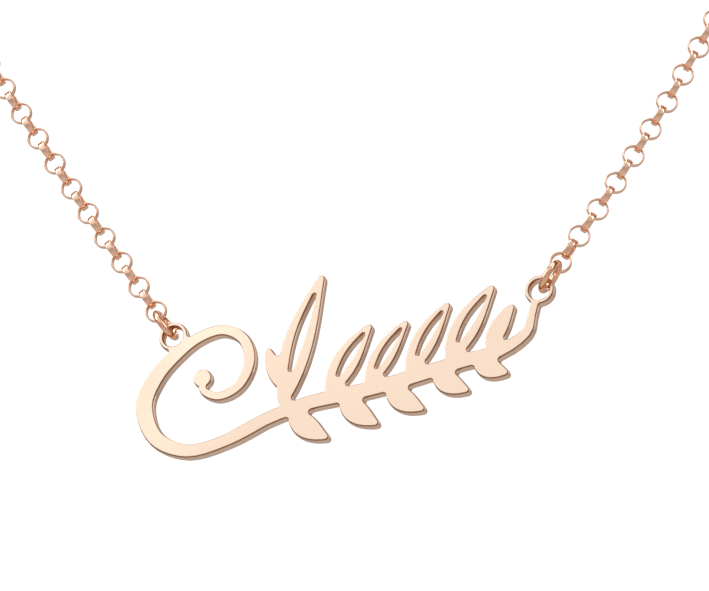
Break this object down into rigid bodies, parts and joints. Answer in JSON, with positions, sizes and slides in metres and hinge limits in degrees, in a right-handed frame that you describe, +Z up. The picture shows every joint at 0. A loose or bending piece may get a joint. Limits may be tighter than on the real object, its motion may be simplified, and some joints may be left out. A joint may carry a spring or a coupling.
{
  "type": "nameplate necklace",
  "caption": "Necklace with a flat pierced leaf-spray plate hung between the two sides of a fine rolo chain, closed at the nape by a spring-ring clasp.",
  "frame": {"origin": "the nape: the middle of the clasp, where the chain lies on the back of the neck", "axes": "+Z up, the wearer faces -Y, +X towards the wearer's left"},
  "size_m": [0.114, 0.0995, 0.129],
  "materials": {
    "rose_gold_plate": "polished",
    "rose_gold_wire": "polished"
  },
  "bodies": {
    "chain": {"chain_left": "rose_gold_wire", "chain_right": "rose_gold_wire", "end_ring": "rose_gold_wire", "clasp": "rose_gold_wire", "clasp_ring": "rose_gold_wire"},
    "plate": {"nameplate": "rose_gold_plate", "jump_ring_left": "rose_gold_wire", "jump_ring_right": "rose_gold_wire"}
  },
  "joints": [
    {"name": "plate_swing", "type": "hinge", "parent": "chain", "child": "plate", "pos_m": [0, -0.09292, -0.10984], "axis": [0.9999, 0.0167, -0.0008], "range_deg": [-20, 20]}
  ]
}
